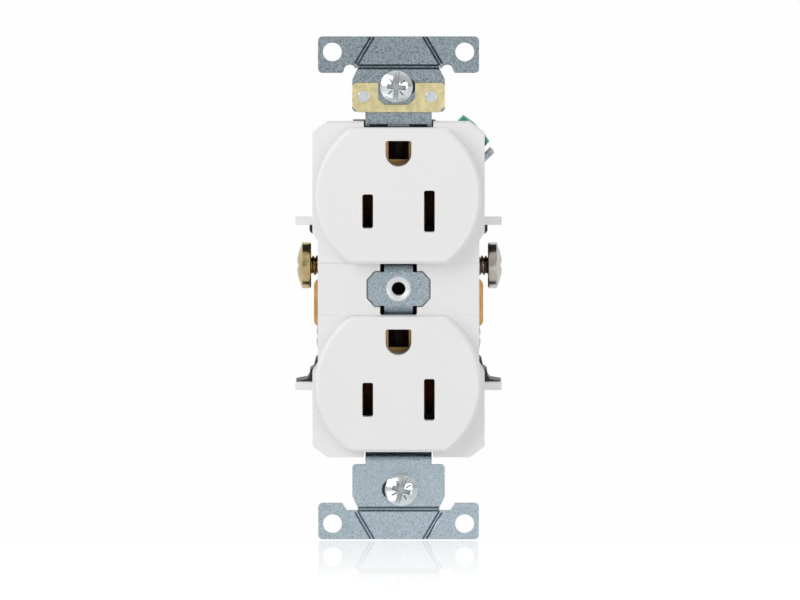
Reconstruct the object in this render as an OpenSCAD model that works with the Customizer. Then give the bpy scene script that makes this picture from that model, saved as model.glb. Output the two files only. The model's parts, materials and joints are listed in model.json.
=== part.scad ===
// Duplex wall outlet, 15 A, with both grounds up.
// +Z is up, the faces look along -Y, and the body is behind at +Y.
// The origin is at the device's centre, on the plane of the wall behind the mounting ears.

/* [Cover] */
// Height of the white cover
cover_h = 69.6; // [69.2:0.1:70.2]
// Width of the cover beside the faces
cover_w = 35.5; // [35.2:0.1:36]
// Width of the cover between the side fins
waist_w = 33.3; // [33.2:0.1:33.6]
// How far the cover's shoulder stands in front of the wall
shoulder_out = 3.4; // [3.2:0.1:3.8]
// How far the faces stand in front of the shoulder
face_rise = 3.8; // [3.4:0.1:4.2]
// Depth of the joint between cover and body, behind the wall plane
joint_y = 4; // [4:0.1:4.2]
// Thickness of the cover's side walls
wall_t = 1.5; // [1.4:0.1:1.6]

/* [Faces] */
// Distance between the two outlets
outlet_pitch = 38.9; // [38.8:0.05:39]
// Diameter of a face
face_d = 34.2; // [34:0.1:34.4]
// Height of a face between its two flats
face_h = 28; // [27.6:0.1:28.2]
// Bevel round a face
face_bevel = 0.6; // [0.4:0.1:0.8]
// Distance between the two blade slots
blade_pitch = 12.7; // [12.6:0.05:12.8]
// How far the blade slots are below the middle of the face
slot_drop = 3.16; // [3:0.02:3.3]
// Height of the ground hole above the blade slots
ground_rise = 11.9; // [11.8:0.05:12]
// Width of the blade slots
slot_w = 2.2; // [2:0.05:2.4]
// Height of the hot slot
hot_slot_h = 7.05; // [6.8:0.05:7.2]
// Height of the neutral slot
neutral_slot_h = 8.6; // [8.4:0.05:8.8]
// Width of the ground hole
ground_hole_w = 5.3; // [5.2:0.05:5.5]

/* [Strap] */
// Thickness of the strap's steel
strap_t = 1.05; // [1:0.05:1.1]
// Length of the strap
strap_l = 104; // [103.6:0.1:104.6]
// Width of the strap across the plaster ears
ears_w = 33.2; // [32.6:0.1:33.4]
// Height of a plaster ear
ear_h = 7.5; // [7.3:0.1:7.7]
// Distance between the two mounting screws
screw_pitch = 83.34; // [83.2:0.02:83.5]
// Distance between the holes of one pair of ears
ear_hole_pitch = 27.3; // [27:0.1:27.6]
// Diameter of the holes in the ears
ear_hole_d = 3.9; // [3.7:0.05:4.1]
// Width of the plate that carries a mounting screw
plate_w = 19.1; // [18.8:0.1:19.4]
// Width of the necks that enter the cover
neck_w = 13.7; // [13.5:0.1:13.8]
// Length of the slot for a mounting screw
screw_slot_l = 6.9; // [6.7:0.1:7]
// Height of the slot for a mounting screw
screw_slot_h = 4; // [3.9:0.05:4.1]

/* [Terminals] */
// Height of the middle between the two terminal screws of one side
terminal_mid_z = -3.4; // [-3.5:0.02:-3.3]
// Distance between the two terminal screws of one side
terminal_pitch = 14.8; // [14.7:0.05:15]
// Depth of the terminal screws behind the wall plane
terminal_y = 9.4; // [9.3:0.05:9.5]
// Diameter of a terminal screw's head
terminal_head_d = 9.6; // [9.4:0.1:9.7]
// Thread diameter of the terminal screws, 8-32
terminal_d = 4.1; // [4:0.02:4.16]
// Turns between a hot screw driven home and the one that stands backed out
hot_turns = 5; // [4:0.5:5]
// Turns between a neutral screw driven home and the one that stands backed out
neutral_turns = 5.5; // [4.5:0.5:5.5]
// Distance that one turn moves a 32 thread
thread_pitch = 0.79375; // [0.79375]

/* [Body] */
// Width of the black body
body_w = 34.8; // [34.6:0.1:35]
// Height of the black body
body_h = 67.2; // [67:0.1:67.4]
// Depth of the body's back behind the wall plane
body_back = 24; // [23.5:0.1:25]
// How far the side fins reach from the middle
fin_reach = 21.3; // [21:0.1:21.5]

/* [Hidden] */
$fn = 64;
eps = 0.01;
far = 60;

// Steps down the front, from the faces to the strap
face_front = -shoulder_out - face_rise;
shoulder_front = -shoulder_out;
shoulder_t = 2;
shoulder_in = shoulder_front + shoulder_t;
face_t = 3.2;
face_in = face_front + face_t;

// Outlets
outlet_z = outlet_pitch / 2;
outlets = [outlet_z, -outlet_z];
sides = [-1, 1];
blade_x = blade_pitch / 2;
corner_r = 0.4;
corner_steps = 3;

// Cover outline
corner_x = 3.1;
corner_z = 2.3;
waist_top = 9.95;
waist_bottom = -15.5;
waist_slope = 1.75;
notch_w = 14.3;
cover_top_drop = 0.5;
notch_z = [cover_h / 2 - cover_top_drop - wall_t, cover_h / 2 - wall_t];
window_w = 7.6;
window_h = 10.8;
band_t = 0.2;
white_fin_t = 1.5;
white_fin_top = 14.5;
white_fin_bottom = -21.2;
white_fin_front = 0.6;

// Strap: ears, inner run and the centre plate
run_y = 2;
plate_y = -3.15;
plate_end = 36.5;
ear_in = strap_l / 2 - ear_h;
ear_hole_z = strap_l / 2 - 3.2;
ear_r = 0.9;
ear_steps = 5;
ear_shelf = 0.3;
notch_in = 8.3;
notch_out = 11.3;
notch_top = 46.2;
notch_r = 1.25;
notch_sweep = 160;
notch_steps = 8;
notch_lean = [0.7, 0.2];
notch_foot = [0.4, 0.6];
plate_slope = [0.5, 3.1];
plate_step = 0.5;
run_wide_half = 6;
run_wide_low = 5.6;
run_wide_h = 8;
centre_w = 12.7;
centre_h = 7;
centre_edge = 3.8;
centre_neck = 5.9;
centre_bend_z = 4.1;
centre_run_z = 5.75;
centre_gap = 0.25;
end_bend_z = 31.9;
end_bend_rise = 3;
lower_bend_drop = 1.7;
tap_r = 1.42;
tap_boss_r = 2.3;
tap_back = 0.2;
dimple_r = 2.65;
dimple_t = 0.5;
groove_w = 0.5;
groove_t = 0.3;
groove_gap = 0.62;
groove_end = [8.35, 45.75];
ear_groove = [[8.7, 46.3], [5.3, 52.1]];
bend_r = 1.1;
bend_window_x = [2.2, 5.9];
bend_window_z = [32.9, 33.9];
bend_steps = 6;

// Mounting screws, 6-32, and where they sit in their slots
mount_r = 1.73;
mount_l = 19;
mount_head_r = 3.4;
mount_head_t = 2.1;
mount_dome_t = 1.2;
mount_neck_r = 1.3;
mount_neck_l = 3.1;
mount_clear = 0.04;
mount_shift = [-0.43, 0.56];
mount_turn = [5, 17];
mount_tip_t = 1;
mount_tip_in = 0.6;
mount_z = [screw_pitch / 2, -screw_pitch / 2];
keeper_w = 9;
keeper_h = 7;
keeper_t = 0.8;
keeper_gap = 0.05;

// Self-grounding clip
clip_t = 0.5;
clip_top = 42.5;
clip_bottom = 36.4;
clip_slot_w = 7.6;
clip_slot_bottom = 38;
clip_slot_corner = 1.2;
clip_corner = 1.2;
clip_top_corner = 0.6;
clip_slot_x = -0.4;
clip_rivet_x = [-7.2, 6.75];
clip_rivet_z = 39.7;
clip_rivet_r = 1.2;
clip_rivet_shank = 0.75;
clip_rivet_t = 0.35;
rivet_gap = 0.02;

// Terminal screws, strips and pressure plates
terminal_zs = [terminal_mid_z + terminal_pitch / 2, terminal_mid_z - terminal_pitch / 2];
backed_out = [hot_turns * thread_pitch, neutral_turns * thread_pitch];
strip_t = 1.1;
strip_in = 13;
strip_out = strip_in + strip_t;
head_home = strip_out + 0.03;
terminal_head_t = 2.9;
dome_t = 1.1;
tip_r = 1.5;
tip_l = 1.1;
tip_flange_r = 1.95;
tip_flange_t = 0.4;
shank_l = 5.5;
tap_clear = 0.07;
plate_h = 8;
plate_d = 7.6;
plate_t = 1;
plate_gap = 0.05;
tip_clear = 0.06;
recess_w = 1.2;
recess_arm = 4.6;
recess_t = 1.3;
head_edge = 0.35;
dome_steps = 8;

// Strips: tabs, arms and the break-off fin
tab_front = 5.1;
tab_back = 13.2;
tab_top = 8.9;
tab_split_top = -0.9;
tab_split_bottom = 2 * terminal_mid_z - tab_split_top;
tab_bottom = 2 * terminal_mid_z - tab_top;
arm_front = 9.7;
arm_back = 12.7;
fin_front = 4.2;
fin_t = 0.8;
fin_out = 17.5;
fin_top = 1.6;
fin_bottom = 2 * terminal_mid_z - fin_top;
fin_r = 1.4;
leaf_t = 0.7;
leaf_gap = 1.5;
leaf_h = 6.4;
leaf_front = -1.5;
leaf_back = 11;

// Ground contacts
ground_leaf_gap = 4.2;
ground_leaf_t = 0.65;
ground_leaf_h = 4.4;
ground_leaf_back = 12;
ground_base_w = 12.6;
ground_base_h = 7;
ground_base_t = 0.7;
ground_hole_gap = 5.9;
ground_hole_corner = 1;
ground_pin_low = -1.8;
ground_pin_high = 2.6;
ground_rivet_x = 4.7;
ground_rivet_r = 0.75;
ground_rivet_head_r = 1.25;
ground_rivet_head_t = 0.4;

// Ground terminal in the upper right corner, on an axis at 45 degrees
ground_angle = 45;
ground_across = 11.6;
ground_y = 8.4;
ground_tab_s = 29.7;
ground_tab_half = 5;
ground_ear_in = 4.95;
ground_ear_s = 33.5;
ground_tab_back = 12.9;
ground_tab_gap = 0.1;
ground_tab_lap = 0.2;
ground_arm = [-3.2, 4.2];
ground_arm_x = [5.85, 15.85];
ground_arm_z = [23.2, 33.1];
ground_pocket_s = 25.2;
ground_head_r = 3.9;
ground_head_t = 2.35;
ground_head_s = 32.5;
ground_dome_t = 0.5;
ground_shank_l = 3.9;
ground_plate_s = ground_head_s - ground_shank_l - plate_gap;

// Body
body_in = 12.9;
body_floor = 15.5;
body_step = 16.5;
floor_w = body_w - 1.8;
floor_h = body_h - 2;
floor_corner = [1.6, 1.2];
body_back_w = 31;
body_back_h = 64;
barrier_top = 9.9;
barrier_bottom = -14.4;
fin_back = 12.5;
pocket_back = 12.3;
pocket_gap = 0.15;
head_gap = 0.2;
scoop_gap = 0.3;
strip_slot_z = [-26, 19.7];
blade_pocket_in = 4.2;
ground_pocket_half = 3;
ground_bay_half = 8.5;
ground_bay_gap = 0.3;
ground_screw_pocket = [4.25, 4.1];
terminal_bay_w = 10;
terminal_pocket_in = 6.9;
terminal_pocket_h = 8.4;
terminal_pocket_back = 13.6;
wire_hole_r = 1.45;
wire_hole_x = 9.4;
wire_hole_dz = 2.3;
lip_w = 18.8;
lip_h = 34.4;
lip_back = 8;
centre_hole_r = 2.3;
centre_hole_back = 13;

// Screws that hold the body to the cover
assembly_at = [[-11.8, 27.4], [11.8, -29]];
assembly_r = 1.3;
assembly_clear = 0.03;
assembly_head_r = 2.6;
assembly_head_t = 1.8;
assembly_bore_t = 3;
assembly_front = -0.6;
assembly_slot_l = 3;
assembly_slot_w = 0.7;
assembly_slot_in = 0.9;
boss_r = 2.5;

white = "#e8e7e6";
black = "#1b1b1d";
zinc = "#a9b4ba";
brass = "#c6b27c";
contact_brass = "#b98d4e";
green = "#2f9a78";
nickel = "#b9b7b2";
fibre = "#d9d2bf";

// A flat outline in X and Z, made solid from y0 to y1
module from_y(y0, y1) {
    translate([0, y1, 0])
        rotate([90, 0, 0])
            linear_extrude(y1 - y0)
                children();
}

// A flat outline in Y and Z, made solid from x0 to x1
module from_x(x0, x1) {
    translate([x0, 0, 0])
        rotate([90, 0, 90])
            linear_extrude(x1 - x0)
                children();
}

// A box between two values on each axis
module box(x, y, z) {
    translate([x[0], y[0], z[0]])
        cube([x[1] - x[0], y[1] - y[0], z[1] - z[0]]);
}

// A round bar along Y, from y0 to y1
module bar_y(r, y0, y1) {
    translate([0, y1, 0])
        rotate([90, 0, 0])
            cylinder(h = y1 - y0, r = r);
}

// A round bar along X, from x0 to x1
module bar_x(r, x0, x1) {
    translate([x0, 0, 0])
        rotate([0, 90, 0])
            cylinder(h = x1 - x0, r = r);
}

// Places a right-hand piece on the left (-1) or right (1) side
module on_side(side) {
    if (side < 0)
        mirror([1, 0, 0]) children();
    else
        children();
}

// The points of a round corner
function arc(x, z, r, from, to, steps) =
    [for (i = [0:steps]) let (a = from + (to - from) * i / steps) [x + r * cos(a), z + r * sin(a)]];

// An upright rectangle round the origin with round corners
function soft_rectangle(w, h, r, steps) = concat(
    arc(w / 2 - r, h / 2 - r, r, 0, 90, steps),
    arc(r - w / 2, h / 2 - r, r, 90, 180, steps),
    arc(r - w / 2, r - h / 2, r, 180, 270, steps),
    arc(w / 2 - r, r - h / 2, r, 270, 360, steps));

// A bent strip of sheet metal, seen from its edge: its middle line turns with radius r
function unit(v) = v / norm(v);
function left_of(v) = [-v[1], v[0]];
function turned(v, a) = [v[0] * cos(a) - v[1] * sin(a), v[0] * sin(a) + v[1] * cos(a)];
function turn(u, w) = atan2(u[0] * w[1] - u[1] * w[0], u * w);
function bend(a, b, c, r) =
    let (u = unit(b - a), phi = turn(u, unit(c - b)), s = sign(phi), start = b - u * r * tan(abs(phi) / 2))
    [for (i = [0:bend_steps]) let (v = turned(u, phi * i / bend_steps))
        [start + s * r * (left_of(u) - left_of(v)), v]];
function middle_line(p, r) = concat(
    [[p[0], unit(p[1] - p[0])]],
    [for (i = [1:len(p) - 2]) each bend(p[i - 1], p[i], p[i + 1], r)],
    [[p[len(p) - 1], unit(p[len(p) - 1] - p[len(p) - 2])]]);
function sheet(p, t, r) = let (m = middle_line(p, r), n = len(m) - 1) concat(
    [for (i = [0:n]) m[i][0] + left_of(m[i][1]) * t / 2],
    [for (i = [n:-1:0]) m[i][0] - left_of(m[i][1]) * t / 2]);

// Cover outline, drawn in from its edge by a wall's thickness
module cover_outline(in) {
    half = cover_w / 2 - in;
    waist = waist_w / 2 - in;
    top = cover_h / 2 - cover_top_drop - in;
    bottom = cover_h / 2 - in;
    cx = corner_x - in / 2;
    cz = corner_z - in / 2;
    right = [
        [half - cx, top], [half, top - cz],
        [half, waist_top + waist_slope], [waist, waist_top],
        [waist, waist_bottom], [half, waist_bottom - waist_slope],
        [half, cz - bottom], [half - cx, -bottom]];
    polygon(concat(right, [for (i = [len(right) - 1:-1:0]) [-right[i][0], right[i][1]]]));
}

// A face: a circle with a flat top and bottom, and a bevelled front edge
module face(in, front, back, bevel) {
    r = face_d / 2 - in;
    h = face_h / 2 - in;
    intersection() {
        union() {
            bar_y(r, front + bevel, back);
            translate([0, front + bevel, 0])
                rotate([90, 0, 0])
                    cylinder(h = bevel, r1 = r, r2 = r - bevel);
        }
        from_x(-far, far)
            polygon([[back, h], [front + bevel, h], [front, h - bevel],
                [front, bevel - h], [front + bevel, -h], [back, -h]]);
    }
}

// The three openings of one outlet
module outlet_openings(y0, y1) {
    slot_z = -slot_drop;
    from_y(y0, y1) {
        translate([-blade_x, slot_z])
            polygon(soft_rectangle(slot_w, hot_slot_h, corner_r, corner_steps));
        translate([blade_x, slot_z])
            polygon(soft_rectangle(slot_w, neutral_slot_h, corner_r, corner_steps));
    }
    translate([0, 0, slot_z + ground_rise])
        from_y(y0, y1) {
            circle(d = ground_hole_w);
            translate([0, ground_hole_w / 4])
                polygon(soft_rectangle(ground_hole_w, ground_hole_w / 2, corner_r, corner_steps));
        }
}

// The centre plate's outline, larger by a margin
module centre_outline(margin) {
    x = centre_w / 2 + margin;
    z = centre_h / 2 + margin;
    edge = centre_edge / 2;
    inset = centre_h / 2 - edge;
    polygon([[x, edge], [x - inset, z], [inset - x, z], [-x, edge],
        [-x, -edge], [inset - x, -z], [x - inset, -z], [x, -edge]]);
}

module front_cover() {
    recess_back = plate_y + strap_t;
    bore_depth = assembly_front - eps;
    color(white)
        difference() {
            union() {
                difference() {
                    union() {
                        from_y(shoulder_front, joint_y) cover_outline(0);
                        for (z = outlets)
                            translate([0, 0, z]) face(0, face_front, shoulder_in, face_bevel);
                    }
                    from_y(shoulder_in, joint_y + eps) cover_outline(wall_t);
                    for (z = outlets)
                        translate([0, 0, z]) face(wall_t, face_in, shoulder_in + eps, eps);
                }
                for (p = assembly_at)
                    translate([p[0], 0, p[1]]) bar_y(boss_r, shoulder_in - eps, joint_y);
                for (side = sides)
                    on_side(side) {
                        box([cover_w / 2 - wall_t, fin_reach], [white_fin_front, joint_y],
                            [white_fin_top - white_fin_t, white_fin_top]);
                        box([cover_w / 2 - wall_t, fin_reach], [white_fin_front, joint_y],
                            [white_fin_bottom, white_fin_bottom + white_fin_t]);
                    }
            }
            for (z = outlets)
                translate([0, 0, z]) outlet_openings(face_front - eps, shoulder_in);
            for (end = [0, 1])
                mirror([0, 0, end])
                    box([-notch_w / 2, notch_w / 2], [shoulder_front - eps, joint_y + eps],
                        [notch_z[end], far]);
            from_y(shoulder_front - eps, joint_y)
                polygon(soft_rectangle(window_w, window_h, corner_r, corner_steps));
            box([-far, far], [shoulder_front - eps, shoulder_front + band_t], [-window_h / 2, window_h / 2]);
            from_y(shoulder_front - eps, recess_back) centre_outline(centre_gap);
            for (p = assembly_at)
                translate([p[0], 0, p[1]]) bar_y(assembly_r + assembly_clear, bore_depth, joint_y + eps);
        }
}

// Strap outline from the front: one end of it, with a round or a stepped notch beside the plate
module strap_end(round_notch) {
    half = ears_w / 2;
    top = strap_l / 2;
    plate = plate_w / 2;
    neck = neck_w / 2;
    round_side = arc(notch_out - notch_r, notch_top - notch_r, notch_r, 0, notch_sweep, notch_steps);
    stepped_side = [[notch_out, ear_in + notch_foot[1]],
        [notch_out - notch_lean[0], notch_top - notch_lean[1]],
        [notch_in + notch_foot[0], notch_top - notch_lean[1]]];
    right = concat(
        arc(half - ear_r, top - ear_r, ear_r, 90, 0, ear_steps),
        arc(half - ear_r, ear_in + ear_r, ear_r, 0, -90, ear_steps),
        [[notch_out + ear_shelf, ear_in]],
        round_notch ? round_side : stepped_side,
        [[notch_in, notch_top - plate_slope[0]], [plate, notch_top - plate_slope[1]],
            [plate, plate_end + plate_step], [plate - plate_step, plate_end], [neck, plate_end]]);
    polygon(concat(right, [for (i = [len(right) - 1:-1:0]) [-right[i][0], right[i][1]]]));
}

// Strap outline between the two plates: wide round the ground holes, narrow between the blades
module strap_run() {
    neck = neck_w / 2;
    slim = centre_neck / 2;
    upper = outlet_z - slot_drop + ground_rise;
    lower = upper - outlet_pitch;
    translate([-neck, upper - run_wide_low]) square([neck_w, plate_end + eps - upper + run_wide_low]);
    translate([-slim, -plate_end]) square([centre_neck, 2 * plate_end]);
    translate([-run_wide_half, lower - run_wide_h / 2]) square([2 * run_wide_half, run_wide_h]);
    translate([-neck, -plate_end - eps]) square([neck_w, run_wide_h]);
    centre_outline(0);
}

// One score line across the front of an ear: a pair of fine V grooves
module groove(a, b) {
    length = norm(b - a);
    translate([a[0], -strap_t, a[1]])
        rotate([0, -atan2(b[1] - a[1], b[0] - a[0]), 0])
            for (offset = [-groove_gap / 2, groove_gap / 2])
                translate([0, 0, offset])
                    from_x(0, length)
                        polygon([[-eps, -groove_w / 2], [groove_t, 0], [-eps, groove_w / 2]]);
}

// Stands pieces on the ground screw's axis: X runs out along the axis
module ground_frame() {
    rotate([0, -ground_angle, 0])
        translate([0, ground_y, ground_across])
            children();
}

module ground_tab() {
    tab_y = [joint_y + ground_tab_gap - ground_y, ground_tab_back - ground_y];
    inner_y = [run_y - ground_y, joint_y + ground_tab_lap - ground_y];
    tab_s = [ground_tab_s, ground_tab_s + strap_t];
    ground_frame()
        difference() {
            union() {
                box(tab_s, tab_y, [-ground_ear_in - strap_t, ground_tab_half]);
                box(tab_s, inner_y, ground_arm);
                box([ground_tab_s, ground_ear_s], tab_y, [-ground_ear_in - strap_t, -ground_ear_in]);
            }
            bar_x(terminal_d / 2 + tap_clear, ground_tab_s - 1, ground_tab_s + strap_t + 1);
        }
    // The arm of sheet that carries the tab, in the plane of the inner run
    from_y(run_y, run_y + strap_t)
        intersection() {
            translate([ground_arm_x[0], ground_arm_z[0]])
                square([ground_arm_x[1] - ground_arm_x[0], ground_arm_z[1] - ground_arm_z[0]]);
            rotate(ground_angle)
                translate([0, ground_across + ground_arm[0]])
                    square([ground_tab_s + strap_t, ground_arm[1] - ground_arm[0]]);
        }
}

module mounting_strap() {
    half = strap_l / 2;
    back = -strap_t / 2;
    run = run_y + strap_t / 2;
    centre = plate_y + strap_t / 2;
    halves = [for (drop = [0, lower_bend_drop])
        [[back, half], [back, plate_end - end_bend_rise + drop], [run, end_bend_z + drop],
            [run, centre_run_z], [centre, centre_bend_z], [centre, 0]]];
    lower = halves[1];
    line = concat(halves[0], [for (i = [len(lower) - 2:-1:0]) [lower[i][0], -lower[i][1]]]);
    ground_z = outlet_z - slot_drop + ground_rise;
    color(zinc)
        difference() {
            union() {
                intersection() {
                    from_x(-far, far) polygon(sheet(line, strap_t, bend_r));
                    from_y(-far, far) {
                        strap_end(true);
                        mirror([0, 1]) strap_end(false);
                        strap_run();
                    }
                }
                bar_y(tap_boss_r, centre, tap_back);
                ground_tab();
            }
            for (x = [-1, 1], z = [-1, 1])
                translate([x * ear_hole_pitch / 2, 0, z * ear_hole_z]) bar_y(ear_hole_d / 2, -far, far);
            for (end = [0, 1])
                mirror([0, 0, end]) {
                    mounting_slot();
                    groove([-groove_end[0], groove_end[1]], groove_end);
                    for (side = sides)
                        on_side(side) groove(ear_groove[0], ear_groove[1]);
                }
            bar_y(tap_r, -far, far);
            translate([0, plate_y - eps, 0])
                rotate([-90, 0, 0])
                    cylinder(h = dimple_t, r1 = dimple_r, r2 = tap_r);
            for (z = [ground_z, ground_z - outlet_pitch])
                translate([0, 0, z]) {
                    from_y(run_y - 1, joint_y)
                        polygon(soft_rectangle(ground_hole_gap, ground_hole_gap, ground_hole_corner,
                            corner_steps));
                    for (side = sides)
                        translate([side * ground_rivet_x, 0, 0])
                            bar_y(ground_rivet_r + rivet_gap, run_y - 1, joint_y);
                }
            for (x = clip_rivet_x)
                translate([x, 0, clip_rivet_z]) bar_y(clip_rivet_shank + rivet_gap, -far, eps);
            for (side = sides)
                on_side(side) box(bend_window_x, [-far, far], bend_window_z);
        }
}

module mounting_slot() {
    flat = (screw_slot_l - screw_slot_h) / 2;
    translate([0, 0, screw_pitch / 2]) {
        box([-flat, flat], [-far, eps], [-screw_slot_h / 2, screw_slot_h / 2]);
        for (x = [-flat, flat])
            translate([x, 0, 0]) bar_y(screw_slot_h / 2, -far, eps);
    }
}

module ground_clip() {
    slot_half = clip_slot_w / 2;
    half = plate_w / 2;
    slot = [
        [slot_half, clip_top + 1], [slot_half, clip_slot_bottom + clip_slot_corner],
        [slot_half - clip_slot_corner, clip_slot_bottom],
        [clip_slot_corner - slot_half, clip_slot_bottom],
        [-slot_half, clip_slot_bottom + clip_slot_corner], [-slot_half, clip_top + 1]];
    outline = [
        [half, clip_bottom + clip_corner], [half, clip_top - clip_top_corner],
        [half - clip_top_corner, clip_top], [clip_top_corner - half, clip_top],
        [-half, clip_top - clip_top_corner], [-half, clip_bottom + clip_corner],
        [clip_corner - half, clip_bottom], [half - clip_corner, clip_bottom]];
    color(brass)
        difference() {
            from_y(-strap_t - clip_t, -strap_t)
                difference() {
                    polygon(outline);
                    translate([clip_slot_x, 0]) polygon(slot);
                }
            for (x = clip_rivet_x)
                translate([x, 0, clip_rivet_z]) bar_y(clip_rivet_shank + rivet_gap, -far, eps);
        }
}

module clip_rivets() {
    color(zinc)
        for (x = clip_rivet_x)
            translate([x, 0, clip_rivet_z]) {
                bar_y(clip_rivet_shank, -strap_t - clip_t - eps, 0);
                bar_y(clip_rivet_r, -strap_t - clip_t - clip_rivet_t, -strap_t - clip_t);
            }
}

// A screw along X from the underside of its head at 0: a domed head, then the steps of its shank, each
// a radius and how far along -X it reaches; a cross with one long arm is cut across the head
module screw(r, t, dome, slot_l, steps) {
    dome_r = (r * r + dome * dome) / (2 * dome);
    dome_a = asin(r / dome_r);
    dome_points = [for (i = [0:dome_steps]) let (a = dome_a * i / dome_steps)
        [dome_r * sin(a), t - dome_r + dome_r * cos(a)]];
    shank_points = [for (i = [0:len(steps) - 1]) each
        [[steps[i][0], i == 0 ? 0 : -steps[i - 1][1]], [steps[i][0], -steps[i][1]]]];
    difference() {
        rotate([0, 90, 0])
            rotate_extrude()
                polygon(concat(dome_points, [[r, head_edge], [r - head_edge, 0]], shank_points,
                    [[0, -steps[len(steps) - 1][1]]]));
        box([t - recess_t, t + 1], [-recess_w / 2, recess_w / 2], [-slot_l / 2, slot_l / 2]);
        box([t - recess_t, t + 1], [-recess_arm / 2, recess_arm / 2], [-recess_w / 2, recess_w / 2]);
    }
}

module mounting_screw(end) {
    color(zinc)
        translate([mount_shift[end], -strap_t, mount_z[end]])
            rotate([0, mount_turn[end], 0])
                rotate([0, 0, -90])
                    screw(mount_head_r, mount_head_t, mount_dome_t, 2 * mount_head_r + 1,
                        [[mount_neck_r, mount_neck_l], [mount_r, mount_l - mount_tip_t],
                            [mount_r - mount_tip_in, mount_l]]);
}

module screw_retainer(end) {
    color(fibre)
        translate([mount_shift[end], keeper_gap, mount_z[end]])
            difference() {
                box([-keeper_w / 2, keeper_w / 2], [0, keeper_t], [-keeper_h / 2, keeper_h / 2]);
                bar_y(mount_neck_r + mount_clear, -1, keeper_t + 1);
            }
}

// One blade contact and the web that joins it to the rail: seen from above, made as tall as the leaves
module blade_contact(z) {
    near = blade_x - leaf_gap / 2;
    away = blade_x + leaf_gap / 2;
    for (x = [near - leaf_t, away])
        box([x, x + leaf_t], [leaf_front, leaf_back], [z - leaf_h / 2, z + leaf_h / 2]);
    box([near - leaf_t, strip_in + eps], [leaf_back, leaf_back + leaf_t], [z - leaf_h / 2, z + leaf_h / 2]);
}

// A contact strip: two blade contacts, two tapped tabs, and the fin that can be broken out between them
module contact_strip(side) {
    upper = outlet_z - slot_drop;
    lower = upper - outlet_pitch;
    on_side(side)
        difference() {
            union() {
                blade_contact(upper);
                blade_contact(lower);
                box([strip_in, strip_out], [tab_front, tab_back], [tab_split_top, tab_top]);
                box([strip_in, strip_out], [tab_front, tab_back], [tab_bottom, tab_split_bottom]);
                box([strip_in, strip_out], [arm_front, arm_back], [tab_top - eps, upper + leaf_h / 2]);
                box([strip_in, strip_out], [arm_front, arm_back], [lower - leaf_h / 2, tab_bottom + eps]);
                break_off_fin();
            }
            for (z = terminal_zs)
                translate([0, terminal_y, z]) bar_x(terminal_d / 2 + tap_clear, strip_in - 1, strip_out + 1);
        }
}

module break_off_fin() {
    tab_reach = tab_front + eps;
    mid = terminal_mid_z;
    half = (fin_top - fin_bottom) / 2;
    from_y(fin_front, fin_front + fin_t)
        polygon(concat(
            [[strip_in, mid - half], [fin_out - fin_r, mid - half]],
            arc(fin_out - fin_r, mid - half + fin_r, fin_r, -90, 0, 6),
            arc(fin_out - fin_r, mid + half - fin_r, fin_r, 0, 90, 6),
            [[strip_in, mid + half]]));
    box([strip_in, strip_out], [fin_front, tab_reach], [tab_split_top, fin_top]);
    box([strip_in, strip_out], [fin_front, tab_reach], [fin_bottom, tab_split_bottom]);
}

module hot_strip() {
    color(contact_brass) contact_strip(-1);
}

module neutral_strip() {
    color(contact_brass) contact_strip(1);
}

module ground_contact(z) {
    back = run_y + strap_t;
    leaf_in = ground_leaf_gap / 2;
    color(contact_brass)
        translate([0, 0, z]) {
            difference() {
                box([-ground_base_w / 2, ground_base_w / 2], [back, back + ground_base_t],
                    [-ground_base_h / 2, ground_base_h / 2]);
                box([-leaf_in, leaf_in], [back - 1, back + 2], [ground_pin_low, ground_pin_high]);
                for (side = sides)
                    translate([side * ground_rivet_x, 0, 0])
                        bar_y(ground_rivet_r + rivet_gap, back - 1, back + 2);
            }
            for (side = sides)
                on_side(side)
                    box([leaf_in, leaf_in + ground_leaf_t], [back + ground_base_t - eps, ground_leaf_back],
                        [-ground_leaf_h / 2, ground_leaf_h / 2]);
        }
}

module ground_contact_rivets() {
    front = run_y;
    back = run_y + strap_t + ground_base_t;
    upper = outlet_z - slot_drop + ground_rise;
    color(zinc)
        for (z = [upper, upper - outlet_pitch], side = sides)
            translate([side * ground_rivet_x, 0, z]) {
                bar_y(ground_rivet_r, front - eps, back + eps);
                bar_y(ground_rivet_head_r, front - ground_rivet_head_t, front);
                bar_y(ground_rivet_head_r, back, back + ground_rivet_head_t);
            }
}

// A terminal screw along X, with the narrow tip that holds its pressure plate
module terminal_screw(head_r, head_t, dome, shank) {
    screw(head_r, head_t, dome, 2 * head_r + 1,
        [[terminal_d / 2, shank], [tip_r, shank + tip_l], [tip_flange_r, shank + tip_l + tip_flange_t]]);
}

// The plate on a screw's tip, with its outer face at 0
module pressure_plate() {
    difference() {
        box([-plate_t, 0], [-plate_d / 2, plate_d / 2], [-plate_h / 2, plate_h / 2]);
        bar_x(tip_r + tip_clear, -plate_t - 1, 1);
    }
}

// Puts a terminal's pieces at the underside of its head: the upper screws stand backed out
module at_terminal(side, end) {
    on_side(side)
        translate([head_home + (end == 0 ? backed_out[side < 0 ? 0 : 1] : 0), terminal_y, terminal_zs[end]])
            children();
}

module hot_screw(end) {
    color(brass)
        at_terminal(-1, end) terminal_screw(terminal_head_d / 2, terminal_head_t, dome_t, shank_l);
}

module neutral_screw(end) {
    color(nickel)
        at_terminal(1, end) terminal_screw(terminal_head_d / 2, terminal_head_t, dome_t, shank_l);
}

module terminal_plate(side, end) {
    color(brass) at_terminal(side, end) translate([-shank_l - plate_gap, 0, 0]) pressure_plate();
}

module ground_screw() {
    color(green)
        ground_frame()
            translate([ground_head_s, 0, 0])
                terminal_screw(ground_head_r, ground_head_t, ground_dome_t, ground_shank_l);
}

module ground_plate() {
    color(zinc) ground_frame() translate([ground_plate_s, 0, 0]) pressure_plate();
}

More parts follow.
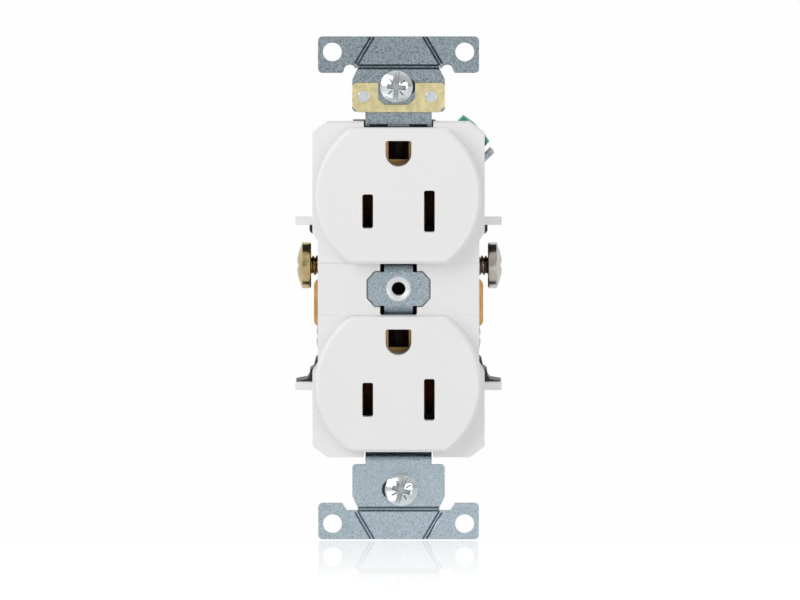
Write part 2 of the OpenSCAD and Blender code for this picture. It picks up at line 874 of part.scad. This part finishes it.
// Half of the body's outline where its end walls and fins show beside the cover
function barrier_upper() = [
    [16.2, barrier_top], [16.9, 9.9], [17.6, 10.9], [18.1, 11.1], [18.4, 11.6],
    [18.4, white_fin_top - white_fin_t],
    [fin_reach - 0.1, white_fin_top - white_fin_t + 0.2], [fin_reach - 0.1, white_fin_top - 0.8],
    [body_w / 2, white_fin_top - 0.8]];
function barrier_lower() = [
    [16.7, barrier_bottom], [17.2, -15.4], [17.5, -16.8], [18.3, -17.3], [18.4, -18.4], [18.9, -19.2],
    [fin_reach - 0.1, white_fin_bottom + white_fin_t + 0.1], [fin_reach - 0.1, white_fin_bottom + 0.3],
    [body_w / 2, white_fin_bottom + 0.3]];

module body_front_outline() {
    half = body_w / 2;
    top = body_h / 2;
    right = concat(
        [[half - corner_x, top], [half, top - corner_z]],
        [for (i = [len(barrier_upper()) - 1:-1:0]) barrier_upper()[i]],
        [[body_in, barrier_top], [body_in, barrier_bottom]],
        barrier_lower(),
        [[half, corner_z - top], [half - corner_x, -top]]);
    polygon(concat(right, [for (i = [len(right) - 1:-1:0]) [-right[i][0], right[i][1]]]));
}

module body_floor_outline() {
    half = floor_w / 2;
    top = floor_h / 2;
    polygon([[half - floor_corner[0], top], [half, top - floor_corner[1]],
        [half, floor_corner[1] - top], [half - floor_corner[0], -top],
        [floor_corner[0] - half, -top], [-half, floor_corner[1] - top],
        [-half, top - floor_corner[1]], [floor_corner[0] - half, top]]);
}

module body_shell() {
    half = floor_w / 2;
    top = floor_h / 2;
    back_half = body_back_w / 2;
    back_top = body_back_h / 2;
    from_y(joint_y, fin_back) body_front_outline();
    from_y(fin_back - eps, body_floor)
        difference() {
            body_floor_outline();
            for (side = sides)
                translate([side * (body_in + terminal_bay_w / 2), (barrier_top + barrier_bottom) / 2])
                    square([terminal_bay_w, barrier_top - barrier_bottom], center = true);
        }
    intersection() {
        from_y(body_floor - eps, body_back) body_floor_outline();
        from_x(-far, far)
            polygon([[body_floor - eps, top], [body_step, top], [body_back, back_top],
                [body_back, -back_top], [body_step, -top], [body_floor - eps, -top]]);
        linear_extrude(2 * far, center = true)
            polygon([[-half, body_floor - eps], [-half, body_step], [-back_half, body_back],
                [back_half, body_back], [half, body_step], [half, body_floor - eps]]);
    }
    box([-lip_w / 2, lip_w / 2], [joint_y, lip_back], [top, lip_h]);
}

module back_body() {
    upper = outlet_z - slot_drop;
    ground_z = upper + ground_rise;
    pocket_h = leaf_h + 1;
    color(black)
        difference() {
            body_shell();
            for (drop = [0, outlet_pitch]) {
                for (side = sides)
                    on_side(side)
                        box([blade_pocket_in, strip_out + pocket_gap], [joint_y - 1, pocket_back],
                            [upper - drop - pocket_h / 2, upper - drop + pocket_h / 2]);
                box([-ground_pocket_half, ground_pocket_half],
                    [joint_y - 1, ground_leaf_back + 2 * pocket_gap],
                    [ground_z - drop - ground_pocket_half, ground_z - drop + ground_pocket_half]);
                for (side = sides)
                    translate([side * ground_rivet_x, 0, ground_z - drop])
                        bar_y(ground_rivet_head_r + head_gap, joint_y - 1,
                            joint_y + ground_rivet_head_t + head_gap);
            }
            for (side = sides)
                on_side(side) {
                    box([strip_in - pocket_gap, strip_out + pocket_gap], [joint_y - 1, tab_back + pocket_gap],
                        strip_slot_z);
                    for (z = terminal_zs) {
                        translate([0, terminal_y, z]) bar_x(terminal_head_d / 2 + scoop_gap, body_in, far);
                        box([terminal_pocket_in, body_in + eps], [joint_y - 1, terminal_pocket_back],
                            [z - terminal_pocket_h / 2, z + terminal_pocket_h / 2]);
                        for (dz = [-wire_hole_dz, wire_hole_dz])
                            translate([wire_hole_x, 0, z + dz])
                                bar_y(wire_hole_r, terminal_pocket_back - 1, body_back + eps);
                    }
                }
            ground_frame() {
                box([ground_tab_s - ground_tab_gap, far], [-far, ground_tab_back + ground_bay_gap - ground_y],
                    [-ground_bay_half, ground_bay_half]);
                box([ground_pocket_s, ground_tab_s + 1], [joint_y - 1 - ground_y, ground_screw_pocket[1]],
                    [-ground_screw_pocket[0], ground_screw_pocket[0]]);
            }
            bar_y(centre_hole_r, joint_y - 1, centre_hole_back);
            for (p = assembly_at)
                translate([p[0], 0, p[1]]) {
                    bar_y(assembly_r + head_gap, joint_y - 1, body_back + 1);
                    bar_y(assembly_head_r + head_gap, body_back - assembly_bore_t, body_back + 1);
                }
        }
}

module assembly_screws() {
    color(zinc)
        for (p = assembly_at)
            translate([p[0], 0, p[1]]) {
                bar_y(assembly_r, assembly_front, body_back - assembly_bore_t + eps);
                difference() {
                    bar_y(assembly_head_r, body_back - assembly_bore_t,
                        body_back - assembly_bore_t + assembly_head_t);
                    for (turn = [0, 90])
                        rotate([0, turn, 0])
                            box([-assembly_slot_l / 2, assembly_slot_l / 2],
                                [body_back - assembly_bore_t + assembly_slot_in, body_back],
                                [-assembly_slot_w / 2, assembly_slot_w / 2]);
                }
            }
}

front_cover();
back_body();
mounting_strap();
ground_clip();
clip_rivets();
mounting_screw(0);  // upper_mounting_screw
mounting_screw(1);  // lower_mounting_screw
screw_retainer(0);  // upper_screw_retainer
screw_retainer(1);  // lower_screw_retainer
hot_strip();
neutral_strip();
ground_contact(outlet_z - slot_drop + ground_rise);  // upper_ground_contact
ground_contact(ground_rise - slot_drop - outlet_z);  // lower_ground_contact
ground_contact_rivets();
hot_screw(0);  // hot_screw_upper
hot_screw(1);  // hot_screw_lower
neutral_screw(0);  // neutral_screw_upper
neutral_screw(1);  // neutral_screw_lower
terminal_plate(-1, 0);  // hot_plate_upper
terminal_plate(-1, 1);  // hot_plate_lower
terminal_plate(1, 0);  // neutral_plate_upper
terminal_plate(1, 1);  // neutral_plate_lower
ground_screw();
ground_plate();
assembly_screws();
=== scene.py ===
import json
import math

import bmesh
import bpy
from mathutils import Matrix, Vector


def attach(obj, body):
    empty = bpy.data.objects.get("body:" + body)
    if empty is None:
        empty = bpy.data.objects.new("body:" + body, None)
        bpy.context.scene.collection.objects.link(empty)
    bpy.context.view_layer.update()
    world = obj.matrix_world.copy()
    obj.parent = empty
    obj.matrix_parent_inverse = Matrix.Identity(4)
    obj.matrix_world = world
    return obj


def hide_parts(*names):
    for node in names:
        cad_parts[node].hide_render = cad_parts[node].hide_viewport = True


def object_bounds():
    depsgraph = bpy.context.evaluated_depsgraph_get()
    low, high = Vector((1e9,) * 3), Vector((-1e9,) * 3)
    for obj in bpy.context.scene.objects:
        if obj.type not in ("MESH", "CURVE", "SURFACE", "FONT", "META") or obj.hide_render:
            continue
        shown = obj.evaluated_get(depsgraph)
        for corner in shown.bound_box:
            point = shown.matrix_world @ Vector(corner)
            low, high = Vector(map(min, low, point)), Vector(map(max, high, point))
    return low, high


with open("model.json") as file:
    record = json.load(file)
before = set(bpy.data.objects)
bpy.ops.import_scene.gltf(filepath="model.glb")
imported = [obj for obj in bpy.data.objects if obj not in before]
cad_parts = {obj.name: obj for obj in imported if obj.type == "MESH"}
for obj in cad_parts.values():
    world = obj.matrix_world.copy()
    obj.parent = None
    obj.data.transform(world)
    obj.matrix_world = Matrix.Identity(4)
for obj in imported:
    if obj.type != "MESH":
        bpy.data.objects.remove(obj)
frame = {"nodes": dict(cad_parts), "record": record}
cad_low, cad_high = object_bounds()
MM = 0.001
RECORD = frame["record"]
BODY = {n: b for b, ns in RECORD["behaviour"]["bodies"].items() for n in ns}
SLOT = {s["node"]: s["material_slot"] for s in RECORD["subparts"]}
WHITE = (1, 1, 1, 1)


# ---------------------------------------------------------------- node graphs
class Graph:
    """Short ways to add nodes to a tree. A value is a number, a colour or another node's output."""

    def __init__(self, tree):
        self.nodes, self.links = tree.nodes, tree.links

    def feed(self, socket, value):
        if isinstance(value, bpy.types.NodeSocket):
            self.links.new(value, socket)
        else:
            socket.default_value = value

    def add(self, kind, values=None, **settings):
        node = self.nodes.new("ShaderNode" + kind)
        for key, value in settings.items():
            setattr(node, key, value)
        for key, value in (values or {}).items():
            self.feed(node.inputs[key], value)
        return node

    def spread(self, source, span, result=(0.0, 1.0)):
        """Stretch the span onto the result, held at both ends."""
        node = self.add("MapRange", {"Value": source, "From Min": span[0], "From Max": span[1],
                                     "To Min": result[0], "To Max": result[1]})
        return node.outputs["Result"]

    def blend(self, share, first, second, kind="RGBA"):
        """The mix node keeps its own sockets for each kind of data."""
        start, out = (6, 2) if kind == "RGBA" else (2, 0)
        node = self.add("Mix", {0: share, start: first, start + 1: second}, data_type=kind)
        return node.outputs[out]

    def maths(self, operation, *values):
        return self.add("Math", dict(enumerate(values)), operation=operation).outputs[0]

    def noise(self, place, scale, detail):
        node = self.add("TexNoise", {"Vector": place, "Scale": scale, "Detail": detail, "Roughness": 0.5})
        return node.outputs["Fac"]

    def ramp(self, source, low, high):
        node = self.add("ValToRGB", {"Fac": source})
        for element, at, colour in zip(node.color_ramp.elements, (0.32, 0.68), (low, high)):
            element.position = at
            element.color = colour
        return node.outputs["Color"]

    def openness(self, reach):
        """1 on open surface, less where the piece faces itself within reach, in mm."""
        node = self.add("AmbientOcclusion", {"Distance": reach * MM}, samples=8, only_local=True)
        return node.outputs["AO"]


def tint(colour, k=1.0):
    return (*(min(1.0, c * k) for c in colour), 1.0)


# ---------------------------------------------------------------- materials
# Each function of tones returns the base colour, made from the grained one and its mean. What they darken is
# painted shade, and all they darken or brighten is part of the colour, so it stays the same under any light.
RING_R = 2.6          # the bright ring round the strap's pressed hole
RING_COLOUR = (0.78, 0.8, 0.81, 1.0)
RING_METALLIC = 0.25


def strap_tones(g, place, shader, grained, mean):
    """Bright round the hole on the Y axis, calmer towards the lower end, darker towards the top as painted
    shade, and dark in the scored lines as painted shade."""
    across = g.add("VectorMath", {0: place, 1: (1, 0, 1)}, operation="MULTIPLY").outputs[0]
    off_axis = g.add("VectorMath", {0: across}, operation="LENGTH").outputs["Value"]
    height = g.add("SeparateXYZ", {0: place}).outputs["Z"]
    calm = g.blend(g.spread(height, (-20 * MM, 20 * MM), (0.55, 0.0)), grained, mean)
    # Painted shade: the colour darkens towards the top, from 1.0 at the lower end to 0.58
    painted_top_shade = g.spread(height, (-45 * MM, 45 * MM), (1.0, 0.58))
    # Painted shade in the scored lines, where the surface faces itself
    painted_crease_shade = g.spread(g.openness(0.5), (0.5, 0.97), (0.5, 1.0))
    toned = g.add("VectorMath", {0: calm, "Scale": g.maths("MULTIPLY", painted_top_shade, painted_crease_shade)}, operation="SCALE")
    ring = ((RING_R - 0.25) * MM, (RING_R + 0.1) * MM)
    metallic = shader.inputs["Metallic"]
    g.feed(metallic, g.spread(off_axis, ring, (RING_METALLIC, metallic.default_value)))
    return g.blend(g.spread(off_axis, ring), RING_COLOUR, toned.outputs[0])


BLADE_X = 12.4        # further out than this the contact strips show at the device's sides
PIN_X = 4.0           # nearer the middle than this is a ground contact


def contact_tones(g, place, shader, grained, mean):
    """Painted shade: nearly black behind the blade slots, with warm brass left behind the ground holes."""
    aside = g.maths("ABSOLUTE", g.add("SeparateXYZ", {0: place}).outputs["X"])
    pin_edge = ((PIN_X - 0.4) * MM, (PIN_X + 0.4) * MM)
    blade_edge = ((BLADE_X - 0.4) * MM, (BLADE_X + 0.4) * MM)
    # Painted shade behind the blade slots; the part behind the ground holes stays warm brass
    painted_slot_shade = g.blend(g.spread(aside, pin_edge), (0.8, 0.5, 0.2, 1.0), (0.05, 0.02, 0.006, 1.0))
    return g.blend(g.spread(aside, blade_edge), painted_slot_shade, grained)


def painted_hollow_shade(reach, painted_shade_colour):
    """Painted shade: dark in the recesses and round the thread, over a reach in mm."""
    def tones(g, place, shader, grained, mean):
        # Painted shade: the colour goes to the shade colour where the piece faces itself
        return g.blend(g.spread(g.openness(reach), (0.35, 0.95), (0.12, 1.0)), tint(painted_shade_colour), grained)
    return tones


def finish_material(name, colour, metallic, roughness, grain, shades, bump=0.0, bump_scale=0,
                    rough_span=0.0, specular=0.5, edge=0.1, cells=False, tones=None):
    """Grain and bump_scale count the noise's waves in a metre, shades are the darkest and brightest
    share of the colour, and edge is the radius in mm that softens sharp edges."""
    mat = bpy.data.materials.new(name)
    mat.use_nodes = True
    g = Graph(mat.node_tree)
    shader = g.nodes["Principled BSDF"]
    shader.inputs["Metallic"].default_value = metallic
    shader.inputs["Roughness"].default_value = roughness
    shader.inputs["Specular IOR Level"].default_value = specular
    place = g.add("TexCoord").outputs["Object"]
    source = g.noise(place, grain, 3.0)
    if cells:
        flakes = g.add("TexVoronoi", {"Scale": grain * 1.3, "Vector": place})
        source = g.blend(0.45, source, flakes.outputs["Color"], "FLOAT")
    low, high = shades
    base = g.ramp(source, tint(colour, low), tint(colour, high))
    if tones:
        base = tones(g, place, shader, base, tint(colour, (low + high) / 2))
    g.feed(shader.inputs["Base Color"], base)
    if rough_span:
        spread = g.spread(source, (0.3, 0.7), (roughness - rough_span, roughness + rough_span))
        g.feed(shader.inputs["Roughness"], spread)
    normal = g.add("Bevel", {"Radius": edge * MM}, samples=6).outputs["Normal"]
    if bump:
        normal = g.add("Bump", {"Normal": normal, "Strength": bump, "Distance": 0.02 * MM,
                                "Height": g.noise(place, bump_scale, 2.0)}).outputs["Normal"]
    g.feed(shader.inputs["Normal"], normal)
    return mat


LOOKS = {  # name: colour, metallic, roughness, grain, shades, and the rest by name
    "white_plastic": ((0.86, 0.852, 0.85), 0.0, 0.36, 90, (0.985, 1.0), dict(
        bump=0.15, bump_scale=2600, specular=0.45, edge=0.15)),
    "black_plastic": ((0.018, 0.018, 0.02), 0.0, 0.42, 160, (0.8, 1.2), dict(
        bump=0.2, bump_scale=2500)),
    "zinc_steel": ((0.57, 0.68, 0.75), 1.0, 0.36, 3200, (0.6, 1.2), dict(
        bump=0.35, bump_scale=3500, rough_span=0.1, cells=True, edge=0.05, tones=strap_tones)),
    "clip_brass": ((0.81, 0.72, 0.41), 1.0, 0.40, 700, (0.80, 1.08), dict(
        bump=0.25, bump_scale=1500, rough_span=0.06)),
    "contact_brass": ((0.72, 0.42, 0.17), 1.0, 0.34, 400, (0.75, 1.1), dict(
        bump=0.15, bump_scale=1200, rough_span=0.06, tones=contact_tones)),
    # The screws' darker colours in their slots and threads are painted shade
    "screw_brass": ((0.66, 0.53, 0.26), 1.0, 0.20, 500, (0.82, 1.05), dict(
        bump=0.1, bump_scale=1500, rough_span=0.05, edge=0.06, tones=painted_hollow_shade(4.0, (0.30, 0.15, 0.03)))),
    "screw_silver": ((0.66, 0.62, 0.58), 1.0, 0.20, 500, (0.8, 1.05), dict(
        bump=0.1, bump_scale=1500, rough_span=0.05, edge=0.06, tones=painted_hollow_shade(4.0, (0.16, 0.09, 0.05)))),
    "screw_green": ((0.03, 0.36, 0.24), 0.75, 0.30, 600, (0.7, 1.15), dict(
        bump=0.1, bump_scale=1500)),
    "screw_zinc": ((0.84, 0.89, 0.92), 1.0, 0.13, 600, (0.85, 1.05), dict(
        bump=0.1, bump_scale=1800, rough_span=0.04, edge=0.05, tones=painted_hollow_shade(1.6, (0.16, 0.18, 0.19)))),
    "plate_steel": ((0.55, 0.56, 0.57), 1.0, 0.38, 700, (0.8, 1.1), {}),
    # fibre: a brown fibre, darkened as painted shade where the retainer shows in the mounting screw's slot
    "fibre": ((0.24, 0.20, 0.15), 0.0, 0.75, 900, (0.8, 1.1), {}),
}
MATERIAL = {name: finish_material(name, *look[:-1], **look[-1]) for name, look in LOOKS.items()}


# ---------------------------------------------------------------- meshes
WELD, SLIVER, SPECK = 0.016, 0.004, 0.0005   # mm: what is merged or dropped in a CAD mesh
FLAT_BELOW, BEVEL_ABOVE = 0.6, 35            # degrees between two faces
SMOOTH_BELOW, SCREW_SMOOTH_BELOW = 50, 38


def smooth_by_angle(bm, degrees):
    limit = math.radians(degrees)
    for f in bm.faces:
        f.smooth = True
    for e in bm.edges:
        e.smooth = len(e.link_faces) == 2 and e.calc_face_angle(0.0) < limit


def link_mesh(name, bm):
    mesh = bpy.data.meshes.new(name)
    bm.normal_update()
    bm.to_mesh(mesh)
    bm.free()
    o = bpy.data.objects.new(name, mesh)
    bpy.context.scene.collection.objects.link(o)
    return o


def new_piece(bm, node):
    o = link_mesh(node + "_made", bm)
    o.data.materials.append(MATERIAL[SLOT[node]])
    return o


def settle(o, *nodes):
    """The piece stands for its CAD nodes and moves with their body. Its flat faces keep their own
    direction beside a rounded edge."""
    w = o.modifiers.new("normals", "WEIGHTED_NORMAL")
    w.keep_sharp = True
    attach(o, BODY[nodes[0]])
    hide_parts(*nodes)
    return o


def from_cad(node):
    bm = bmesh.new()
    bm.from_mesh(frame["nodes"][node].data)
    bmesh.ops.remove_doubles(bm, verts=bm.verts, dist=WELD * MM)
    bmesh.ops.dissolve_degenerate(bm, edges=bm.edges, dist=SLIVER * MM)
    bmesh.ops.dissolve_limit(bm, angle_limit=math.radians(FLAT_BELOW), verts=bm.verts, edges=bm.edges)
    bmesh.ops.recalc_face_normals(bm, faces=bm.faces)
    return bm


def dress(node, width, segments=2, skip=None, shape=None):
    """Round the CAD mesh's sharp edges by width mm, but for those whose middle skip picks out."""
    bm = from_cad(node)
    if shape:
        shape(bm)
    edges = [e for e in bm.edges
             if len(e.link_faces) == 2 and e.calc_face_angle(0.0) > math.radians(BEVEL_ABOVE)
             and not (skip and skip((e.verts[0].co + e.verts[1].co) / 2 / MM))]
    bmesh.ops.bevel(bm, geom=edges, offset=width * MM, offset_type="OFFSET", segments=segments,
                    profile=0.5, affect="EDGES", clamp_overlap=False)
    bmesh.ops.dissolve_degenerate(bm, edges=bm.edges, dist=SPECK * MM)
    smooth_by_angle(bm, SMOOTH_BELOW)
    settle(new_piece(bm, node), node)


def pinch(bm, leaf_y=8, lean=1.5):
    """The leaves that grip a plug's ground pin lean in by lean mm at their tips, behind leaf_y."""
    for v in bm.verts:
        if v.co.y > leaf_y * MM:
            v.co.x -= math.copysign(lean * MM, v.co.x)


# ---------------------------------------------------------------- screws
# All in mm, with the underside of the head at height 0
PITCH = 0.79375       # 32 threads to the inch
CENTRE_R = 0.02       # a lathed end closes on this radius
DOME_STEPS, ROWS_PER_TURN = 14, 10
RUN_OUT = 0.5         # a thread fades over this length
MARK_HALF = 0.14      # the four short marks between the arms of the cross


def lathe_rows(bm, rows, turns=72):
    """rows are (height, radius or function of the angle)."""
    rings = []
    for z, r in rows:
        ring = []
        for j in range(turns):
            a = 2 * math.pi * j / turns
            rr = r(a) if callable(r) else r
            ring.append(bm.verts.new((rr * math.cos(a), rr * math.sin(a), z)))
        rings.append(ring)
    for a, b in zip(rings, rings[1:]):
        for j in range(turns):
            k = (j + 1) % turns
            bm.faces.new((a[j], b[j], b[k], a[k]))
    bm.faces.new(rings[0])
    bm.faces.new(rings[-1][::-1])


def thread(z, r_out, r_in, fade):
    """The thread's radius at height z as a function of the angle, with rounded crests and roots."""
    def radius(a):
        f = (z / PITCH - a / (2 * math.pi)) % 1.0
        t = 1 - abs(2 * f - 1)
        s = min(1.0, max(0.0, (t - 0.12) / 0.62))
        return r_in + (r_out - r_in) * s * s * (3 - 2 * s) * fade
    return radius


def thread_rows(z, end, r, r_in):
    count = max(4, round((end + z) / PITCH * ROWS_PER_TURN))
    rows = [(z, r_in)]
    for i in range(count + 1):
        h = z - 0.02 - (end + z - 0.04) * i / count
        fade = min(1.0, (z - h) / RUN_OUT + 0.05, (h + end) / RUN_OUT + 0.05)
        rows.append((h, thread(h, r, r_in, fade)))
    rows.append((-end, r_in))
    return rows


def block(bm, x, y, z, spin=0.0):
    centre = Matrix.Translation(((x[0] + x[1]) / 2, (y[0] + y[1]) / 2, (z[0] + z[1]) / 2))
    m = Matrix.Rotation(spin, 4, "Z") @ centre
    m = m @ Matrix.Diagonal((x[1] - x[0], y[1] - y[0], z[1] - z[0], 1))
    bmesh.ops.create_cube(bm, size=1, matrix=m)


def cut(o, tool_bm):
    tool = link_mesh("tool", tool_bm)
    mesh = tool.data
    m = o.modifiers.new("cut", "BOOLEAN")
    m.operation = "DIFFERENCE"
    m.solver = "EXACT"
    m.use_self = True
    m.object = tool
    bpy.context.view_layer.update()
    made = bpy.data.meshes.new_from_object(o.evaluated_get(bpy.context.evaluated_depsgraph_get()))
    old = o.data
    o.modifiers.clear()
    o.data = made
    bpy.data.meshes.remove(old)
    bpy.data.objects.remove(tool)
    bpy.data.meshes.remove(mesh)


def screw(node, place, shank, head_r, head_t, dome, edge, slot_w, slot_l, arm, depth):
    """place holds where the middle of the head's underside is, the way the head looks and the way
    its slot runs. shank is a list of (kind, radius, inner radius, end)."""
    rows = [(head_t, CENTRE_R)]
    sphere = (head_r ** 2 + dome ** 2) / (2 * dome)
    top = math.asin(head_r / sphere)
    for i in range(1, DOME_STEPS + 1):
        a = top * i / DOME_STEPS
        rows.append((head_t - sphere + sphere * math.cos(a), sphere * math.sin(a)))
    rows += [(head_t - dome - 0.08, head_r), (edge, head_r),
             (edge * 0.35, head_r - edge * 0.35), (0.0, head_r - edge)]
    z = 0.0
    for kind, r, r_in, end in shank:
        rows += [(z, r), (-end, r)] if kind == "plain" else thread_rows(z, end, r, r_in)
        z = -end
    rows.append((z, CENTRE_R))
    bm = bmesh.new()
    lathe_rows(bm, rows)
    bmesh.ops.recalc_face_normals(bm, faces=bm.faces)
    o = new_piece(bm, node)

    # The slot, the shorter arm of the cross and the marks, all cut from above the head
    tool = bmesh.new()
    low = head_t - depth
    block(tool, (-slot_l / 2, slot_l / 2), (-slot_w / 2, slot_w / 2), (low, head_t + 1))
    block(tool, (-slot_w / 2, slot_w / 2), (-arm / 2, arm / 2), (low + 0.05, head_t + 1.1))
    mark_r = arm * 0.5
    for k in range(4):
        block(tool, (mark_r * 0.55, mark_r * 1.15), (-MARK_HALF, MARK_HALF),
              (head_t - dome * 0.45 - 0.25, head_t + 1.2), math.radians(45 + 90 * k))
    cut(o, tool)

    bm = bmesh.new()
    bm.from_mesh(o.data)
    bmesh.ops.remove_doubles(bm, verts=bm.verts, dist=0.002)
    smooth_by_angle(bm, SCREW_SMOOTH_BELOW)
    bm.to_mesh(o.data)
    bm.free()
    o.data.transform(Matrix.Diagonal((MM, MM, MM, 1)))
    at, out, slot = place[0], place[1].normalized(), place[2].normalized()
    third = out.cross(slot)
    o.data.transform(Matrix((
        (slot.x, third.x, out.x, at.x * MM),
        (slot.y, third.y, out.y, at.y * MM),
        (slot.z, third.z, out.z, at.z * MM),
        (0, 0, 0, 1))))
    settle(o, node)


TERMINAL_HEAD = dict(head_r=4.78, head_t=2.9, dome=1.1, edge=0.35, slot_w=1.2, slot_l=11, arm=4.6, depth=1.3)
GROUND_HEAD = dict(head_r=3.88, head_t=2.35, dome=0.5, edge=0.35, slot_w=1.2, slot_l=9.5, arm=4.6, depth=1.3)
MOUNTING_HEAD = dict(head_r=3.38, head_t=2.1, dome=1.2, edge=0.3, slot_w=0.95, slot_l=8, arm=3.9, depth=0.95)

# Terminal screws: driven in, the head is HOME from the middle. The upper ones are backed out by turns
HOME, TERMINAL_Y = 14.13, 9.4
UPPER_Z, LOWER_Z = 4.0, -10.8
for side, sx, turns in (("hot", -1, 5), ("neutral", 1, 5.5)):
    for end, z, at in (("upper", UPPER_Z, HOME + turns * PITCH), ("lower", LOWER_Z, HOME)):
        screw(f"{side}_screw_{end}",
              (Vector((sx * at, TERMINAL_Y, z)), Vector((sx, 0, 0)), Vector((0, 0, 1))),
              [("thread", 2.04, 1.62, 5.5), ("plain", 1.49, 0, 6.6), ("plain", 1.94, 0, 6.98)],
              **TERMINAL_HEAD)

# The ground screw: its head is GROUND_OUT along an axis at 45 degrees, which passes GROUND_ASIDE of the middle
S45 = math.sqrt(0.5)
GROUND_OUT, GROUND_ASIDE, GROUND_Y = 32.5, 11.6, 8.4
screw("ground_screw",
      (Vector(((GROUND_OUT - GROUND_ASIDE) * S45, GROUND_Y, (GROUND_OUT + GROUND_ASIDE) * S45)),
       Vector((S45, 0, S45)), Vector((-S45, 0, S45))),
      [("thread", 2.04, 1.62, 3.9), ("plain", 1.49, 0, 5.0), ("plain", 1.94, 0, 5.38)],
      **GROUND_HEAD)

# Mounting screws: off the middle of their slots by x, with their own slots turned by turn degrees
MOUNTING_Y, MOUNTING_Z = -1.05, 41.67
for end, x, z, turn in (("upper", -0.43, MOUNTING_Z, 5), ("lower", 0.56, -MOUNTING_Z, 17)):
    a = math.radians(turn)
    screw(f"{end}_mounting_screw",
          (Vector((x, MOUNTING_Y, z)), Vector((0, -1, 0)), Vector((math.sin(a), 0, math.cos(a)))),
          [("plain", 1.28, 0, 3.1), ("thread", 1.72, 1.38, 18.2), ("plain", 1.12, 0, 18.98)],
          **MOUNTING_HEAD)


# ---------------------------------------------------------------- moulded and stamped pieces
def window_edge(at):
    """The crisp edges of the cover's window for the strap's middle, and of the thin rim over it."""
    return abs(at.x) < 16.2 and abs(at.z) < 5.8 and at.y > -6


def scored_end(at):
    """The middle of the strap's ends, where the scored lines are too close together to round."""
    return abs(at.x) < 9.2 and abs(at.z) > 45.2


dress("front_cover", 0.08, skip=window_edge)
dress("back_body", 0.1)
dress("mounting_strap", 0.05, skip=scored_end)
dress("ground_clip", 0.08)
dress("clip_rivets", 0.1, segments=3)
for node in ("upper_ground_contact", "lower_ground_contact"):
    dress(node, 0.07, shape=pinch)
for node in ("hot_strip", "neutral_strip", "ground_contact_rivets", "assembly_screws",
             "upper_screw_retainer", "lower_screw_retainer", "hot_plate_upper", "hot_plate_lower",
             "neutral_plate_upper", "neutral_plate_lower", "ground_plate"):
    dress(node, 0.07)

# ---------------------------------------------------------------- stage
scene = bpy.context.scene
FLOOR_HALF, FLOOR_GAP = 4.0, 0.0002
FLOOR_SEEN, FLOOR_LIGHT = 1.12, 0.76         # what the camera sees, and what the floor throws back
WORLD_SEEN = 1.05

floor_bm = bmesh.new()
bmesh.ops.create_grid(floor_bm, x_segments=1, y_segments=1, size=FLOOR_HALF)
floor = link_mesh("floor", floor_bm)
floor.location = (0, 0, cad_low.z - FLOOR_GAP)
pale = bpy.data.materials.new("pale_floor")
pale.use_nodes = True
g = Graph(pale.node_tree)
g.nodes.remove(g.nodes["Principled BSDF"])
seen = g.add("LightPath").outputs["Is Camera Ray"]
glow = g.add("Emission", {"Color": WHITE, "Strength": g.blend(seen, FLOOR_LIGHT, FLOOR_SEEN, "FLOAT")})
gloss = g.add("BsdfGlossy", {"Color": WHITE, "Roughness": 0.05})
# The gloss fades out towards the front
depth = g.add("SeparateXYZ", {0: g.add("TexCoord").outputs["Object"]}).outputs["Y"]
surface = g.add("MixShader", {0: g.spread(depth, (-0.16, 0.0), (0.0, 0.4)),
                              1: glow.outputs[0], 2: gloss.outputs[0]})
g.feed(g.nodes["Material Output"].inputs["Surface"], surface.outputs[0])
floor.data.materials.append(pale)

# The studio is brighter above and behind the object, and one plain white to the camera
world = bpy.data.worlds.new("studio")
scene.world = world
world.use_nodes = True
g = Graph(world.node_tree)
way = g.add("SeparateXYZ", {0: g.add("TexCoord").outputs["Generated"]})
behind = g.spread(way.outputs["Y"], (-1.0, 0.6), (0.22, 0.72))
above = g.spread(way.outputs["Z"], (-0.2, 1.0), (0.0, 0.3))
seen = g.add("LightPath").outputs["Is Camera Ray"]
back = g.nodes["Background"]
back.inputs["Color"].default_value = WHITE
g.feed(back.inputs["Strength"], g.blend(seen, g.maths("ADD", behind, above), WORLD_SEEN, "FLOAT"))


def area(name, at, size, power):
    """A square light of size metres that looks at the origin."""
    light = bpy.data.lights.new(name, "AREA")
    light.shape = "RECTANGLE"
    light.size = size
    light.size_y = size
    light.energy = power
    o = bpy.data.objects.new(name, light)
    o.location = at
    o.rotation_mode = "QUATERNION"
    o.rotation_quaternion = (-Vector(at)).to_track_quat("-Z", "Y")
    scene.collection.objects.link(o)


area("key", (-0.50, -0.46, 0.34), 0.6, 2.35)
area("fill", (0.30, -0.55, -0.02), 0.5, 1.15)

# ---------------------------------------------------------------- camera
ELEVATION, REACH = math.radians(4.3), 2.75
target = Vector((0.3, -5.0, -2.13)) * MM
camera_data = bpy.data.cameras.new("camera")
camera_data.lens = 600.6
camera_data.sensor_width = 36
camera_data.clip_start, camera_data.clip_end = 0.01, 20
camera = bpy.data.objects.new("camera", camera_data)
camera.location = target + Vector((0, -math.cos(ELEVATION), math.sin(ELEVATION))) * REACH
camera.rotation_mode = "QUATERNION"
camera.rotation_quaternion = (target - camera.location).to_track_quat("-Z", "Y")
scene.collection.objects.link(camera)
scene.camera = camera
scene.view_settings.view_transform = "Standard"
scene.view_settings.look = "None"
